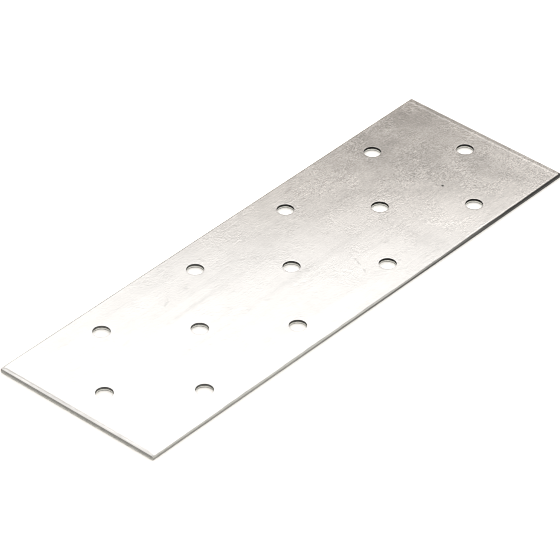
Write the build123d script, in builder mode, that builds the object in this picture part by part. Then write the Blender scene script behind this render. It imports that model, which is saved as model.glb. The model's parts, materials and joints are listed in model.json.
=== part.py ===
import os

from build123d import *

# Mending plate: one flat piece of galvanised strip, slit to width, punched from above
# and sheared to length. All sizes are in millimetres.
# The origin is the middle of the bottom face, +X runs along the strip and +Z is up,
# through the face that the punches struck.

thickness = 1.5

# Nail holes: a row along the middle, and a row each side of it that is half a pitch out
# of step, so it has one hole fewer
hole_diameter = 5.3
hole_pitch = 40.0
row_spacing = 20.0
middle_row_holes = 5
side_row_holes = middle_row_holes - 1

# From the outer holes' centres to the cut walls. The strip was sheared to length a little
# out of step with the punches, so the margins at its two ends differ.
near_end_margin = 11.75  # at the -X end
far_end_margin = 9.7
side_margin = 9.45

length = (middle_row_holes - 1) * hole_pitch + near_end_margin + far_end_margin
width = 2 * (row_spacing + side_margin)
pattern_middle = (near_end_margin - far_end_margin) / 2

# Every cut wall has three bands, from the top down: the roll, where the sheet was drawn
# down over the tool, the land, which the tool burnished, and the break, where the steel
# tore away at a slant. The short ends are sheared, and have the widest roll.
end_roll_width = 0.8
end_roll_depth = 0.1
end_land = 0.8
end_break_slant = 0.12

# The long sides, cut by slitting rolls
side_roll_width = 0.12
side_roll_depth = 0.04
side_land = 0.66
side_break_slant = 0.1

# The walls of the holes, which the break opens out towards the bottom
hole_roll_width = 0.05
hole_roll_depth = 0.03
hole_land = 0.67
hole_break_slant = 0.15

punch_overrun = 1.0  # how far the punch reaches past both faces of the sheet

os.makedirs("parts", exist_ok=True)


def half_section(reach, roll_width, roll_depth, land, break_slant):
    # Half of a section through the sheet: out along the bottom, up the break and the land
    # of the wall at this reach, over its roll and back to the middle of the top
    land_top = thickness - roll_depth
    Polyline((0, 0), (reach - break_slant, 0), (reach, land_top - land), (reach, land_top))
    roll_end = reach - roll_width
    EllipticalCenterArc((roll_end, land_top), roll_width, roll_depth, arc_size=90)
    Line((roll_end, thickness), (0, thickness))


# The punch, turned to the form that it leaves in the sheet
with BuildPart() as punch:
    hole_radius = hole_diameter / 2
    mouth_radius = hole_radius + hole_roll_width
    foot_radius = hole_radius + hole_break_slant
    land_top = thickness - hole_roll_depth
    with BuildSketch(Plane.XZ):
        with BuildLine():
            TangentArc((mouth_radius, thickness), (hole_radius, land_top), tangent=(-1, 0))
            Polyline(
                (hole_radius, land_top),
                (hole_radius, land_top - hole_land),
                (foot_radius, 0),
                (foot_radius, -punch_overrun),
                (0, -punch_overrun),
                (0, thickness + punch_overrun),
                (mouth_radius, thickness + punch_overrun),
                (mouth_radius, thickness),
            )
        make_face()
    revolve(axis=Axis.Z)

# The plate: the section along it, drawn out across the width, and only what also lies
# inside the section across it, drawn out along the length
with BuildPart() as plate:
    with BuildSketch(Plane.XZ.offset(-width / 2)):
        with BuildLine():
            half_section(length / 2, end_roll_width, end_roll_depth, end_land, end_break_slant)
            mirror(about=Plane.YZ)
        make_face()
    extrude(amount=width)
    with BuildSketch(Plane.YZ.offset(-length / 2)):
        with BuildLine():
            half_section(width / 2, side_roll_width, side_roll_depth, side_land, side_break_slant)
            mirror(about=Plane.YZ)
        make_face()
    extrude(amount=length, mode=Mode.INTERSECT)

    # the middle row, then the two side rows
    with Locations((pattern_middle, 0)):
        with GridLocations(hole_pitch, row_spacing, middle_row_holes, 1):
            add(punch.part, mode=Mode.SUBTRACT)
        with GridLocations(hole_pitch, 2 * row_spacing, side_row_holes, 2):
            add(punch.part, mode=Mode.SUBTRACT)

plate.part.label = "plate"
export_step(plate.part, "parts/plate.step")
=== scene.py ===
import json
import math

import bmesh
import bpy
from mathutils import Matrix, Vector


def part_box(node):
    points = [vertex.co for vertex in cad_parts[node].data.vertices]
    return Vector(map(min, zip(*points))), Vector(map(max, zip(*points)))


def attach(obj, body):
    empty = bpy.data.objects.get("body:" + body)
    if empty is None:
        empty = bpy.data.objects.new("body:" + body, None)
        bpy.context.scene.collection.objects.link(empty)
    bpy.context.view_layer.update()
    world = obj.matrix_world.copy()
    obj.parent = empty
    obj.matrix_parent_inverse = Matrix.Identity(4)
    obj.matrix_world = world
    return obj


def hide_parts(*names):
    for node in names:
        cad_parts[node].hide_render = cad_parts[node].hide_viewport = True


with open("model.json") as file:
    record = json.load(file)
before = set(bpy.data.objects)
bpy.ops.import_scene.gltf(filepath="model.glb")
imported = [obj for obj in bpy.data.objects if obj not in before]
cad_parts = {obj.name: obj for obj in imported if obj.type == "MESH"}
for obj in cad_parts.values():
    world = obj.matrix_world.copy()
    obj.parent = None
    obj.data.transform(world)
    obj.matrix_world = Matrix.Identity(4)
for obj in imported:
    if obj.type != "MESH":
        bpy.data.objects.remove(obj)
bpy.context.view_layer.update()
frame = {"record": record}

mm = 0.001
near = 0.01 * mm  # places closer than this count as level or in line
same = 0.001 * mm  # and closer than this as one place


# small helpers for working in edit mode

def workOn(*objs):  # selects only these, with the first one active
    if bpy.context.mode != "OBJECT":
        bpy.ops.object.mode_set(mode="OBJECT")
    bpy.ops.object.select_all(action="DESELECT")
    for obj in objs:
        obj.select_set(True)
    bpy.context.view_layer.objects.active = objs[0]


def pickVerts(obj, wanted):  # selects the points whose place passes the test
    bpy.ops.mesh.select_mode(type="VERT")
    bpy.ops.mesh.select_all(action="DESELECT")
    shape = bmesh.from_edit_mesh(obj.data)
    for vert in shape.verts:
        vert.select = wanted(vert.co)
    shape.select_flush_mode()
    bmesh.update_edit_mesh(obj.data)


def pickEdges(obj, wanted, openOnly=False):  # the same for edges, or for open ones alone
    bpy.ops.mesh.select_mode(type="EDGE")
    bpy.ops.mesh.select_all(action="DESELECT")
    shape = bmesh.from_edit_mesh(obj.data)
    for edge in shape.edges:
        if edge.is_boundary or not openOnly:
            edge.select = wanted(edge.verts[0].co, edge.verts[1].co)
    shape.select_flush_mode()
    bmesh.update_edit_mesh(obj.data)


def drawRow(above, below):  # extrudes the picked loop on to the size and place of the next row
    middle = [(below[i] + below[i + 1]) / 2 for i in (0, 2)]
    move = [middle[i // 2] - (above[i] + above[i + 1]) / 2 for i in (0, 2)]
    grow = [(below[i + 1] - below[i]) / (above[i + 1] - above[i]) for i in (0, 2)]
    bpy.ops.mesh.extrude_edges_move(
        TRANSFORM_OT_translate={"value": (move[0], move[1], below[4] - above[4])}
    )
    bpy.ops.transform.resize(value=(grow[0], grow[1], 1), center_override=(*middle, 0))


def tearUp(obj, title, wanted, direction, level, reach, grain):  # makes some points uneven
    group = obj.vertex_groups.new(name=title)
    group.add([v.index for v in obj.data.vertices if wanted(v.co)], 1, "REPLACE")
    texture = bpy.data.textures.new(title, "CLOUDS")
    texture.noise_scale = grain
    texture.noise_depth = plateShape["tornLayers"]
    tear = obj.modifiers.new(title, "DISPLACE")
    tear.texture = texture
    tear.texture_coords = "LOCAL"
    tear.vertex_group = title
    tear.direction = direction
    tear.mid_level = level
    tear.strength = reach
    workOn(obj)
    bpy.ops.object.modifier_apply(modifier=title)
    obj.vertex_groups.remove(obj.vertex_groups[title])


# the plate

plateShape = {  # lengths in mm
    "walls": {
        # roll: the sheet drawn down over the tool, landFoot: height where the steel tore,
        # slant: how far the tear leans into the metal by the bottom
        "nearEnd": {"rollWidth": 0.65, "rollDepth": 0.06, "landFoot": 0.6, "slant": 0.12},
        "farEnd": {"rollWidth": 1.25, "rollDepth": 0.05, "landFoot": 0.6, "slant": 0.12},
        "nearSide": {"rollWidth": 0.12, "rollDepth": 0.045, "landFoot": 0.8, "slant": 0.08},
        "farSide": {"rollWidth": 0.35, "rollDepth": 0.07, "landFoot": 0.8, "slant": 0.1},
        "hole": {"rollWidth": 0.05, "rollDepth": 0.05, "landFoot": 0.7, "slant": 0.15},
    },
    "lips": {"nearEnd": 0.04, "farEnd": 0.012},  # the shear lifts the metal before its roll
    "lipSpread": 0.8,
    "flatBorder": {"end": 2.4, "side": 1.0, "hole": 0.6},  # plain strip outside the rolls
    "borderRows": 8,
    "rollRows": 7,
    "wallHeights": (1.3, 1.05, 0.8, 0.7, 0.6, 0.4, 0.2, 0.06, 0.0),
    "edgeStep": 0.5,  # spacing of the points along the cut edges
    "holeSegments": 72,
    "holeTurn": 137.5,  # degrees from one hole to the next, so that no two tears are alike
    "tornReach": 0.045,
    "tornLineReach": 0.22,
    "tornGrain": 0.9,
    "tornLayers": 3,  # of finer and finer grain
    "smoothUpTo": 35,  # degrees between faces
}

boxLow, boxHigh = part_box("plate")
halfLength = (boxHigh.x - boxLow.x) / 2
halfWidth = (boxHigh.y - boxLow.y) / 2
flatTop = boxHigh.z - max(plateShape["lips"].values()) * mm
holes = [m for m in frame["record"]["mounts"] if m["kind"] == "bore"]
holeCentres = [Vector((m["pos_m"][0], m["pos_m"][1], 0)) for m in holes]
holeRadius = holes[0]["dims"]["r_mm"] * mm


def wallInset(wall, height):  # how far back from its land a wall stands at a height
    depth = flatTop - height
    rollDepth = wall["rollDepth"] * mm - (boxHigh.z - flatTop)
    if depth < rollDepth:
        lean = math.acos(1 - depth / rollDepth)
        return wall["rollWidth"] * mm * (1 - math.sin(lean))
    landFoot = wall["landFoot"] * mm
    return wall["slant"] * mm * max(0, landFoot - height) / landFoot


def rowHeights():  # heights of the rows of points from the edge of the flat top down
    deepest = max(wall["rollDepth"] for wall in plateShape["walls"].values())
    rollDepth = deepest * mm - (boxHigh.z - flatTop)
    count = plateShape["rollRows"]
    turns = [math.radians(90) * i / count for i in range(count + 1)]
    rolled = [flatTop - rollDepth * (1 - math.cos(turn)) for turn in turns]
    return rolled + [h * mm for h in plateShape["wallHeights"]]


# a row of points is given as its low and high x, low and high y, and height

def outlineRow(nearEnd, farEnd, nearSide, farSide, height):  # the outline set back by these
    return (
        nearEnd - halfLength,
        halfLength - farEnd,
        nearSide - halfWidth,
        halfWidth - farSide,
        height,
    )


def cutOutline():  # the four sheared and slit walls, with a strip of the top inside them
    walls = plateShape["walls"]
    names = ("nearEnd", "farEnd", "nearSide", "farSide")
    borders = [plateShape["flatBorder"][name] for name in ("end", "end", "side", "side")]
    count = plateShape["borderRows"]
    rows = []
    for i in range(count):  # over the flat strip to the start of the rolls
        insets = [
            (border + (walls[name]["rollWidth"] - border) * i / count) * mm
            for name, border in zip(names, borders)
        ]
        rows.append(outlineRow(*insets, flatTop))
    for height in rowHeights():
        rows.append(outlineRow(*[wallInset(walls[name], height) for name in names], height))

    bpy.ops.mesh.primitive_plane_add(size=2, location=(0, 0, 0))
    outline = bpy.context.object
    workOn(outline)
    bpy.ops.object.mode_set(mode="EDIT")
    bpy.ops.mesh.delete(type="ONLY_FACE")
    bpy.ops.mesh.select_all(action="SELECT")
    lowX, highX, lowY, highY, startZ = rows[0]
    bpy.ops.transform.resize(
        value=((highX - lowX) / 2, (highY - lowY) / 2, 1), center_override=(0, 0, 0)
    )
    bpy.ops.transform.translate(value=((lowX + highX) / 2, (lowY + highY) / 2, startZ))
    step = plateShape["edgeStep"] * mm
    pickEdges(outline, lambda a, b: abs(a.y - b.y) < near)
    bpy.ops.mesh.subdivide(number_cuts=round((highX - lowX) / step))
    pickEdges(outline, lambda a, b: abs(a.x - b.x) < near)
    bpy.ops.mesh.subdivide(number_cuts=round((highY - lowY) / step))
    bpy.ops.mesh.select_all(action="SELECT")
    for above, below in zip(rows, rows[1:]):
        drawRow(above, below)

    # the lip along each short end, which dies out at the corners
    reach = halfWidth - plateShape["lipSpread"] * mm
    for name, lip in plateShape["lips"].items():
        crest = halfLength - walls[name]["rollWidth"] * mm
        if name == "nearEnd":
            crest = -crest
        pickVerts(outline, lambda p: abs(p.x - crest) < near and abs(p.y) < reach)
        bpy.ops.transform.translate(
            value=(0, 0, lip * mm),
            use_proportional_edit=True,
            proportional_edit_falloff="SMOOTH",
            proportional_size=plateShape["lipSpread"] * mm,
        )
    bpy.ops.object.mode_set(mode="OBJECT")
    return outline


def holeRow(radius, height):
    return (-radius, radius, -radius, radius, height)


def punchHole():  # one hole's wall, round the origin, with a ring of the top outside it
    wall = plateShape["walls"]["hole"]
    border = plateShape["flatBorder"]["hole"] * mm
    rows = [holeRow(holeRadius + border, flatTop)]
    rows += [holeRow(holeRadius + wallInset(wall, height), height) for height in rowHeights()]
    bpy.ops.mesh.primitive_circle_add(
        vertices=plateShape["holeSegments"], radius=holeRadius + border, location=(0, 0, 0)
    )
    hole = bpy.context.object
    workOn(hole)
    bpy.ops.object.mode_set(mode="EDIT")
    bpy.ops.mesh.select_all(action="SELECT")
    bpy.ops.transform.translate(value=(0, 0, flatTop))
    for above, below in zip(rows, rows[1:]):
        drawRow(above, below)
    bpy.ops.object.mode_set(mode="OBJECT")
    return hole


def closeFace(obj, height):  # fills between the outline and the holes at this height
    pickEdges(obj, lambda a, b: max(abs(a.z - height), abs(b.z - height)) < near, openOnly=True)
    bpy.ops.mesh.fill(use_beauty=True)


def atHole(place):  # the distance from the nearest hole's centre
    return min((Vector((place.x, place.y, 0)) - centre).length for centre in holeCentres)


def wallOf(place):  # the cut wall that is nearest
    if atHole(place) < holeRadius + plateShape["flatBorder"]["hole"] * mm:
        return "hole"
    if halfLength - abs(place.x) < halfWidth - abs(place.y):
        return "farEnd" if place.x > 0 else "nearEnd"
    return "farSide" if place.y > 0 else "nearSide"


def buildPlate(finishes):
    outline = cutOutline()
    hole = punchHole()
    punched = [outline]
    for i, centre in enumerate(holeCentres):
        copy = hole.copy()
        copy.data = hole.data.copy()
        bpy.context.collection.objects.link(copy)
        turn = math.radians(plateShape["holeTurn"]) * i
        copy.data.transform(Matrix.Translation(centre) @ Matrix.Rotation(turn, 4, "Z"))
        punched.append(copy)
    bpy.data.objects.remove(hole)
    workOn(*punched)
    bpy.ops.object.join()
    plate = bpy.context.object
    plate.name = "punchedPlate"
    plate.data.name = "punchedPlate"

    for finish in finishes.values():
        plate.data.materials.append(finish)
    order = list(finishes)
    for face in plate.data.polygons:
        face.material_index = order.index(finishFor(face.center))

    # the tear under each land: an uneven line, a rough slant and a ragged bottom edge
    walls = plateShape["walls"]
    grain = plateShape["tornGrain"] * mm
    reach = plateShape["tornReach"] * mm

    def onTear(place):
        return place.z < walls[wallOf(place)]["landFoot"] * mm - near

    def onTearLine(place):
        return abs(place.z - walls[wallOf(place)]["landFoot"] * mm) < near

    workOn(plate)
    bpy.ops.object.mode_set(mode="EDIT")
    bpy.ops.mesh.select_all(action="SELECT")
    bpy.ops.mesh.normals_make_consistent(inside=False)
    bpy.ops.object.mode_set(mode="OBJECT")
    tearUp(plate, "tornLine", onTearLine, "Z", 0.5, plateShape["tornLineReach"] * mm, grain)
    tearUp(plate, "tornSlant", onTear, "NORMAL", 1.0, reach, grain / 2)  # into the metal

    # one flat bottom and one flat top
    workOn(plate)
    bpy.ops.object.mode_set(mode="EDIT")
    pickVerts(plate, lambda p: p.z < 2 * near)
    bpy.ops.transform.resize(value=(1, 1, 0), center_override=(0, 0, 0))
    closeFace(plate, flatTop)
    closeFace(plate, 0)
    bpy.ops.mesh.select_all(action="SELECT")
    bpy.ops.mesh.remove_doubles(threshold=same)
    bpy.ops.mesh.normals_make_consistent(inside=False)
    bpy.ops.object.mode_set(mode="OBJECT")
    bpy.ops.object.shade_smooth_by_angle(angle=math.radians(plateShape["smoothUpTo"]))
    return plate


def finishFor(place):  # the finish of a face, by the band of the wall that it lies in
    walls = plateShape["walls"]
    name = wallOf(place)
    if place.z > flatTop - same or place.z <= 0:
        return "zinc"
    paintedShadeRoll = name in ("nearSide", "hole")  # these rolls take the dark cut-steel finish instead of zinc: painted shade at the wall's top
    if place.z > boxHigh.z - walls[name]["rollDepth"] * mm and not paintedShadeRoll:
        return "zinc"
    part = "end" if name.endswith("End") else "side" if name.endswith("Side") else "hole"
    return part + ("Land" if place.z > walls[name]["landFoot"] * mm else "Torn")


print("mending plate: shapes ready to build")


# shader helpers

class Wire:  # a socket that can be written in sums
    def __init__(self, graph, socket):
        self.graph = graph
        self.socket = socket

    def __add__(self, other):
        return self.graph.sum("ADD", self, other)

    def __radd__(self, other):
        return self.graph.sum("ADD", other, self)

    def __sub__(self, other):
        return self.graph.sum("SUBTRACT", self, other)

    def __rsub__(self, other):
        return self.graph.sum("SUBTRACT", other, self)

    def __mul__(self, other):
        return self.graph.sum("MULTIPLY", self, other)

    def __rmul__(self, other):
        return self.graph.sum("MULTIPLY", other, self)


class Graph:  # one material's nodes
    def __init__(self, name):
        self.material = bpy.data.materials.new(name)
        self.material.use_nodes = True
        self.tree = self.material.node_tree
        self.tree.nodes.clear()
        self.places = {}

    def node(self, kind, settings=None, values=None, output=0):
        made = self.tree.nodes.new(kind)
        for name, value in (settings or {}).items():
            setattr(made, name, value)
        for name, value in (values or {}).items():
            if isinstance(value, Wire):
                self.tree.links.new(value.socket, made.inputs[name])
            else:
                made.inputs[name].default_value = value
        return Wire(self, made.outputs[output]) if made.outputs else None

    def sum(self, operation, first, second):
        return self.node("ShaderNodeMath", {"operation": operation}, {0: first, 1: second})

    def placeInMm(self, scale=(1, 1, 1)):  # the place on the piece in mm, squeezed or drawn out
        if scale not in self.places:
            place = self.node("ShaderNodeTexCoord", output="Object")
            self.places[scale] = self.node(
                "ShaderNodeVectorMath",
                {"operation": "MULTIPLY"},
                {0: place, 1: [s / mm for s in scale]},
            )
        return self.places[scale]

    def axis(self, name):  # the place along one axis in mm
        return self.node("ShaderNodeSeparateXYZ", values={0: self.placeInMm()}, output=name)

    def noise(self, place, scale, detail, offset=0.0):  # centred on zero, about -0.5 to 0.5
        moved = self.node(
            "ShaderNodeVectorMath", {"operation": "ADD"}, {0: place, 1: (offset, offset, offset)}
        )
        value = self.node(
            "ShaderNodeTexNoise",
            {"noise_dimensions": "3D"},
            {"Vector": moved, "Scale": scale, "Detail": detail, "Roughness": 0.6},
            output="Fac",
        )
        return value - 0.5

    def spots(self, squeeze, scale, detail, offset):  # lighter and darker places, -1 to 1
        reach = 0.22  # the noise seldom goes past this
        place = self.placeInMm(scale=(squeeze, 1, 1))
        return self.ramp(self.noise(place, scale, detail, offset), -reach, reach, -1.0, 1.0)

    def ramp(self, value, low, high, start=0.0, end=1.0):  # eased from start to end
        return self.node(
            "ShaderNodeMapRange",
            {"interpolation_type": "SMOOTHSTEP"},
            {"Value": value, "From Min": low, "From Max": high, "To Min": start, "To Max": end},
        )

    def patch(self, x, y, length, width, turn, softness, uneven):  # 1 inside, 0 away
        throughSheet = 1000  # mm, so that a patch is as wide at any height
        edge = 1.1  # where it ends, in shares of half its length or width
        local = self.node(
            "ShaderNodeMapping",
            {"vector_type": "TEXTURE"},
            {
                "Vector": self.placeInMm(),
                "Location": (x, y, 0),
                "Rotation": (0, 0, math.radians(turn)),
                "Scale": (length / 2, width / 2, throughSheet),
            },
        )
        away = self.node(
            "ShaderNodeVectorMath", {"operation": "LENGTH"}, {0: local}, output="Value"
        )
        return self.ramp(away + uneven, edge, edge - softness)

    def mix(self, share, first, second):
        return self.node(
            "ShaderNodeMix", {"data_type": "RGBA"}, {0: share, 6: first, 7: second}, output=2
        )

    def tint(self, colour, strength):  # a colour made lighter or darker by a number
        return self.node(
            "ShaderNodeVectorMath", {"operation": "SCALE"}, {0: colour, "Scale": strength}
        )

    def bump(self, height, depth):
        return self.node(
            "ShaderNodeBump", values={"Height": height, "Strength": 1.0, "Distance": depth},
        )

    def finish(self, colour, roughness, normal, metallic=1.0, shine=0.5):
        shader = self.node("ShaderNodeBsdfPrincipled", values={
            "Base Color": colour,
            "Roughness": roughness,
            "Metallic": metallic,
            "Specular IOR Level": shine,
            "Normal": normal,
        })
        self.node("ShaderNodeOutputMaterial", values={"Surface": shader})
        return self.material


# finishes

zincLook = {
    "light": (0.69, 0.682, 0.67, 1),
    "warm": (0.675, 0.650, 0.624, 1),
    "warmFrom": -15,  # painted light: the coat is painted warmer where the light falls away, between these places in mm
    "warmTo": 65,
    "warmSkew": 0.9,  # and sooner at +Y, where the light falls away sooner
    "roughness": 0.18,
    "roughnessByClouds": 0.01,
    "roughnessBySpeckle": 0.02,
    "relief": 0.0012,  # mm
    "streakRelief": 0.6,

    # kinds of marks: squeeze along the plate, noise scale for each mm, detail, offset and how
    # much lighter and darker they make the coat
    "marks": {
        "speckle": (1.0, 2.25, 1, 0, 0.095),
        "grains": (1.0, 1.0, 2, 7, 0.05),
        "dashes": (0.4, 1.7, 2, 17, 0.03),
        "streaks": (0.05, 1.3, 3, 31, 0.015),
        "bands": (0.04, 0.17, 2, 43, 0.03),
        "clouds": (1.0, 0.10, 4, 23, 0.045),
    },
    "clumps": (1.0, 0.12, 2, 71),  # the noise that gathers the grain in clumps
    "clumpsFrom": -0.8,
    "clumpsTo": 0.8,
    "clumpsLeast": 0.3,  # share of the grain between the clumps, and in them
    "clumpsMost": 1.4,
    "dullFrom": 5,  # the marks show more towards the +X end, between these places in mm
    "dullTo": 65,
    "bright": 0.22,  # share of the marks that shows on the brighter part

    # where the marks show more, or less: x, y, length and width in mm, share added
    "patches": (
        (61.0, -2.0, 34.0, 26.0, 0.45),
        (57.0, 26.5, 30.0, 9.0, 0.55),
        (79.0, 14.0, 16.0, 22.0, -0.30),
        (46.0, 16.0, 13.0, 11.0, -0.20),
        (56.0, -26.0, 30.0, 7.0, -0.35),
        (47.0, -11.0, 13.0, 8.0, -0.25),
        (37.0, -8.0, 9.0, 14.0, 0.40),
        (34.0, -19.5, 5.0, 10.0, 0.40),
        (30.0, 19.0, 50.0, 17.0, 0.35),
        (62.0, 12.0, 22.0, 26.0, 0.25),
    ),
    "patchSoftness": 0.8,
    "patchUneven": 0.5,

    # darker places on the top, or lighter ones where the darkness is below zero: x, y, length
    # and width in mm, turn in degrees, darkness and softness; the rim ones are painted
    # highlights and painted shade along the cut edges
    "marksAndPaintedLight": {
        # painted light along the cut edges: painted highlights along the far end and just inside
        # the near side's edge, painted shade along the near end and the near side, and lighter
        # and darker bands along the far side
        "paintedRimLight": (
            (75.0, 28.8, 36.0, 2.2, 0, -0.10, 0.8),
            (77.0, 25.4, 24.0, 3.6, 0, 0.04, 0.8),
            (90.5, 0.0, 0.8, 70.0, 0, -0.10, 0.5),
            (-90.6, 0.0, 1.3, 200.0, 0, 0.30, 0.4),
            (-35.0, -29.5, 130.0, 0.5, 0, 0.65, 0.4),
            (75.0, -29.5, 90.0, 0.75, 0, 0.80, 0.4),
            (75.0, -28.85, 90.0, 0.55, 0, -0.20, 0.6),
        ),
        "farEnd": (
            (65.0, 0.0, 18.0, 66.0, 0, 0.06, 0.8),
            (79.0, -8.0, 12.0, 36.0, 0, 0.08, 0.8),
            (75.5, -4.0, 9.0, 9.0, 0, 0.10, 0.8),
            (66.0, 0.0, 18.0, 13.0, 0, 0.05, 0.8),
            (81.0, -12.0, 9.0, 36.0, 0, 0.05, 0.8),
            (68.0, 27.0, 34.0, 7.0, 0, 0.07, 0.7),
            (55.0, 15.0, 17.0, 8.0, 0, 0.06, 0.8),
            (71.0, 15.0, 18.0, 7.0, 0, -0.05, 0.8),
            (89.0, 26.0, 10.0, 9.0, 0, -0.12, 0.7),
            (89.0, 6.0, 9.0, 18.0, 0, -0.09, 0.7),
        ),
        "middle": (
            (9.0, -13.0, 58.0, 24.0, 0, -0.035, 0.8),
            (25.0, -14.0, 24.0, 20.0, 0, -0.045, 0.8),
            (53.0, -19.0, 26.0, 22.0, 0, -0.07, 0.8),
            (38.0, -20.0, 7.0, 28.0, 0, 0.04, 0.5),
            (6.0, -4.6, 80.0, 3.4, 0, 0.03, 0.8),
            (27.0, -9.4, 30.0, 6.0, -6, 0.03, 0.3),
            (-30.0, 8.6, 24.0, 2.4, 2, 0.06, 0.8),
            (-44.0, -5.0, 46.0, 1.6, 0, 0.025, 0.8),
        ),
        "smudges": (
            (16.8, -9.3, 1.8, 1.6, 0, 0.05, 0.9),
            (-37.0, 15.0, 3.0, 1.0, 20, 0.10, 0.6),
            (-27.5, 16.0, 3.6, 1.1, 8, 0.06, 0.6),
            (-9.0, 14.6, 3.2, 1.2, -15, 0.06, 0.6),
            (-58.0, 11.0, 3.4, 1.1, 10, 0.04, 0.6),
            (-65.0, -5.2, 3.4, 1.3, 0, 0.05, 0.6),
            (-56.5, -12.4, 3.6, 1.4, 40, 0.05, 0.6),
            (3.0, -4.4, 3.4, 1.8, 10, 0.06, 0.6),
            (-15.5, -5.6, 2.8, 1.3, -30, 0.06, 0.6),
            (29.5, -12.8, 4.0, 2.0, 8, 0.06, 0.6),
            (-10.5, -26.0, 2.4, 1.6, 30, 0.05, 0.6),
            (-2.5, -25.4, 2.2, 1.4, 0, 0.05, 0.6),
            (54.5, -3.0, 3.6, 2.0, -15, 0.07, 0.6),
        ),
        "scratch": (
            (15.8, -12.9, 4.0, 0.9, 68, 0.20, 0.8),
            (13.9, -17.2, 2.8, 0.7, 62, 0.14, 0.8),
        ),
        "pits": (
            (28.25, -12.85, 0.6, 0.45, 0, 0.35, 0.3),
            (61.9, -7.1, 0.95, 0.7, 60, 0.80, 0.3),
        ),
    },
    "largeMark": 5,  # mm; the clouds make the edge of a larger one uneven, and not the grain
    "largeUneven": 0.25,
    "smallUneven": 0.35,
}


def zincCoat():
    look = zincLook
    graph = Graph("zincCoat")
    spots = {name: graph.spots(*values[:-1]) for name, values in look["marks"].items()}
    marks = {name: spots[name] * values[-1] for name, values in look["marks"].items()}
    gathered = graph.spots(*look["clumps"])
    clumps = graph.ramp(
        gathered, look["clumpsFrom"], look["clumpsTo"], look["clumpsLeast"], look["clumpsMost"]
    )
    shown = graph.ramp(graph.axis("X"), look["dullFrom"], look["dullTo"], look["bright"], 1.0)
    for x, y, length, width, more in look["patches"]:
        uneven = look["patchUneven"] * gathered
        patch = graph.patch(x, y, length, width, 0, look["patchSoftness"], uneven)
        shown = shown + patch * more

    fine = (marks["speckle"] + marks["grains"]) * clumps + marks["dashes"] + marks["streaks"]
    tone = 1 + shown * fine + marks["bands"] + marks["clouds"]
    # each patch darkens or lightens the coat; the rim ones paint highlights and shade onto the
    # edges
    for group in look["marksAndPaintedLight"].values():
        for x, y, length, width, turn, darkness, softness in group:
            if max(length, width) > look["largeMark"]:
                uneven = look["largeUneven"] * spots["clouds"]
            else:
                uneven = look["smallUneven"] * spots["grains"]
            tone = tone - graph.patch(x, y, length, width, turn, softness, uneven) * darkness

    # painted light: the tint follows the fall of the light across the top, neutral where it is
    # brightest and warm where it dims
    skewed = graph.axis("X") + look["warmSkew"] * graph.axis("Y")
    warmth = graph.ramp(skewed, look["warmFrom"], look["warmTo"])
    colour = graph.mix(warmth, look["light"], look["warm"])
    roughness = (
        look["roughness"]
        + look["roughnessByClouds"] * spots["clouds"]
        + look["roughnessBySpeckle"] * spots["speckle"]
    )
    grain = (spots["speckle"] + spots["grains"] + spots["dashes"]) * clumps
    relief = graph.bump(grain + look["streakRelief"] * spots["streaks"], look["relief"] * mm)
    return graph.finish(graph.tint(colour, tone), roughness, relief)


cutLooks = {
    # relief: its depth in mm, fade: share of the tone that is left at the +X end, past
    # fadeTo in mm, and on the sides only along the near one, as painted shade, foot: share left
    # at the bottom, as painted shade
    "endLand": {"light": 0.265, "dark": 0.20, "roughness": 0.42, "relief": 0.01},
    "endTorn": {"light": 0.70, "dark": 0.42, "roughness": 0.6, "relief": 0.06},
    # the near side's walls fade darker towards +X: painted shade
    "sideLand": {"light": 0.50, "dark": 0.44, "roughness": 0.4, "relief": 0.01, "fade": 0.02,
                 "fadeFrom": -5, "fadeTo": 72},
    "sideTorn": {"light": 0.38, "dark": 0.29, "roughness": 0.55, "relief": 0.05, "fade": 0.30,
                 "fadeFrom": -45, "fadeTo": 45},
    # the holes' land is dark and unshiny, and darker towards +X: painted shade inside the holes
    "holeLand": {"light": 0.13, "dark": 0.08, "roughness": 0.5, "relief": 0.01, "fade": 0.22,
                 "fadeFrom": -50, "fadeTo": 30, "metallic": 0.0, "shine": 0.0},
    # holeTorn's foot turns darker towards the bottom: painted shade where the wall meets the
    # floor
    "holeTorn": {"light": 0.92, "dark": 0.70, "roughness": 0.6, "relief": 0.06, "foot": 0.55},
}

steelLook = {  # what all cut walls share
    "tint": (1.0, 1.0, 0.96),
    "drawnUp": 0.12,  # squeeze of the marks on a land, which the tool drew out upwards
    "streakScale": 2.4,
    "grainScale": 7.0,
    "grainTone": 0.5,
    "grainRelief": 0.6,
    "grainRoughness": 0.15,
    "contrast": 0.18,  # the noise from here down is dark, and from here up is light
    "footFrom": 0.1,  # mm above the bottom, over which the painted shade at the foot fades
    "footTo": 0.5,
    "nearFrom": 5,  # mm across the plate, to tell the near side from the far one, for the painted shade
    "nearTo": -5,
}


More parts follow.
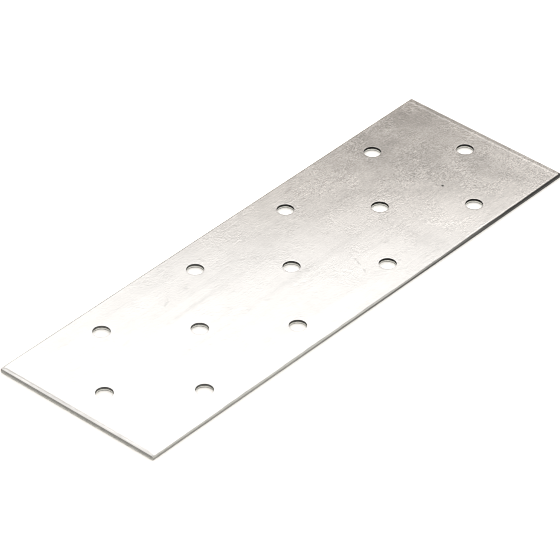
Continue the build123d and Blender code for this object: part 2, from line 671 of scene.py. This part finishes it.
def cutSteel(name):
    look = steelLook | cutLooks[name]
    graph = Graph(name)
    torn = name.endswith("Torn")
    place = graph.placeInMm(scale=(1, 1, 1 if torn else look["drawnUp"]))
    streaks = graph.noise(place, look["streakScale"], 3)
    grain = graph.noise(place, look["grainScale"], 2, offset=11)
    light, dark = [[look[tone] * c for c in look["tint"]] + [1] for tone in ("light", "dark")]
    tone = streaks + look["grainTone"] * grain
    colour = graph.mix(graph.ramp(tone, -look["contrast"], look["contrast"]), dark, light)
    # painted shade: darker towards the bottom of the wall
    if "foot" in look:
        foot = graph.ramp(graph.axis("Z"), look["footFrom"], look["footTo"], look["foot"], 1.0)
        colour = graph.tint(colour, foot)
    # painted shade: the tone darkens towards +X, on the sides only along the near one
    if "fade" in look:
        share = graph.ramp(graph.axis("X"), look["fadeFrom"], look["fadeTo"])
        if name.startswith("side"):
            share = share * graph.ramp(graph.axis("Y"), look["nearFrom"], look["nearTo"])
        colour = graph.tint(colour, 1 - (1 - look["fade"]) * share)
    relief = graph.bump(streaks + look["grainRelief"] * grain, look["relief"] * mm)
    roughness = look["roughness"] + look["grainRoughness"] * grain
    return graph.finish(
        colour, roughness, relief, look.get("metallic", 1.0), look.get("shine", 0.5)
    )


finishes = {"zinc": zincCoat()}
for cutName in cutLooks:
    finishes[cutName] = cutSteel(cutName)
print("mending plate: finishes made")

plate = buildPlate(finishes)
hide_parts("plate")
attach(plate, "root")
print("mending plate: plate built,", len(plate.data.polygons), "faces")


# floor, light and camera

studio = {  # metres and degrees, apart from the lens
    "floorSize": 10.0,
    "floorDrop": 0.03 * mm,  # keeps it clear of the plate's bottom
    "floorColour": (0.78, 0.768, 0.74, 1),
    "worldColour": (1.0, 0.92, 0.84, 1),
    "worldStrength": 0.35,
    "cameraTurn": -48.993,  # round from looking along +Y
    "cameraHeight": 37.128,  # above the floor
    "cameraRoll": 0.692,
    "cameraDistance": 1.26514,
    "aim": (-6.237 * mm, -1.891 * mm, 1.484 * mm),
    "lens": 278.496,  # mm, as is the sensor
    "sensor": 36,
    "nearClip": 0.05,
    "farClip": 50,
    "pixelFilter": 1.0,  # narrow, for a crisp picture

    # soft lights: the middle lies ahead and aside on the turn. Metal shows only what is
    # mirrored, so the plate stays grey against the floor from other sides.
    "panels": {
        "overheadPanel": {"turn": -38.9, "ahead": 0.021, "aside": 0.0, "height": 0.62,
                          "width": 1.6, "depth": 1.6, "watts": 13.0, "mirrored": False},
        "mirroredPanel": {"turn": -38.9, "ahead": 0.591, "aside": 0.0, "height": 0.6,
                          "width": 1.0, "depth": 0.46, "watts": 2.18, "mirrored": True},
        "floorLight": {"turn": -48.6, "ahead": -0.5, "aside": 0.2, "height": 1.4,
                       "width": 0.5, "depth": 0.5, "watts": 7.0, "mirrored": True},
    },
}


def layFloor():
    bpy.ops.mesh.primitive_plane_add(
        size=studio["floorSize"], location=(0, 0, -studio["floorDrop"])
    )
    floor = bpy.context.object
    floor.name = "floor"
    graph = Graph("floorPaint")
    shader = graph.node("ShaderNodeBsdfDiffuse", values={"Color": studio["floorColour"]})
    graph.node("ShaderNodeOutputMaterial", values={"Surface": shader})
    floor.data.materials.append(graph.material)


def lightStudio():
    world = bpy.data.worlds.new("studioWorld")
    bpy.context.scene.world = world
    world.use_nodes = True
    background = world.node_tree.nodes["Background"]
    background.inputs["Color"].default_value = studio["worldColour"]
    background.inputs["Strength"].default_value = studio["worldStrength"]
    for name, values in studio["panels"].items():
        turn = math.radians(values["turn"])
        ahead = Vector((-math.sin(turn), math.cos(turn), 0))
        aside = Vector((math.cos(turn), math.sin(turn), 0))
        above = Vector((0, 0, values["height"]))
        place = ahead * values["ahead"] + aside * values["aside"] + above
        bpy.ops.object.light_add(type="AREA", location=place, rotation=(0, 0, turn))
        panel = bpy.context.object
        panel.name = name
        panel.data.shape = "RECTANGLE"
        panel.data.size = values["width"]
        panel.data.size_y = values["depth"]
        panel.data.energy = values["watts"]
        panel.visible_camera = False
        panel.visible_glossy = values["mirrored"]


def setCamera():
    turn = math.radians(studio["cameraTurn"])
    rise = math.radians(studio["cameraHeight"])
    back = Vector((
        math.sin(turn) * math.cos(rise),
        -math.cos(turn) * math.cos(rise),
        math.sin(rise),
    ))
    bpy.ops.object.camera_add(location=Vector(studio["aim"]) + back * studio["cameraDistance"])
    camera = bpy.context.object
    look = (-back).to_track_quat("-Z", "Y").to_matrix()
    roll = Matrix.Rotation(math.radians(studio["cameraRoll"]), 3, "Z")
    camera.rotation_euler = (look @ roll).to_euler()
    camera.data.lens = studio["lens"]
    camera.data.sensor_width = studio["sensor"]
    camera.data.clip_start = studio["nearClip"]
    camera.data.clip_end = studio["farClip"]
    bpy.context.scene.camera = camera


layFloor()
lightStudio()
setCamera()
bpy.context.scene.view_settings.view_transform = "Standard"
bpy.context.scene.cycles.filter_width = studio["pixelFilter"]
print("mending plate: studio ready")
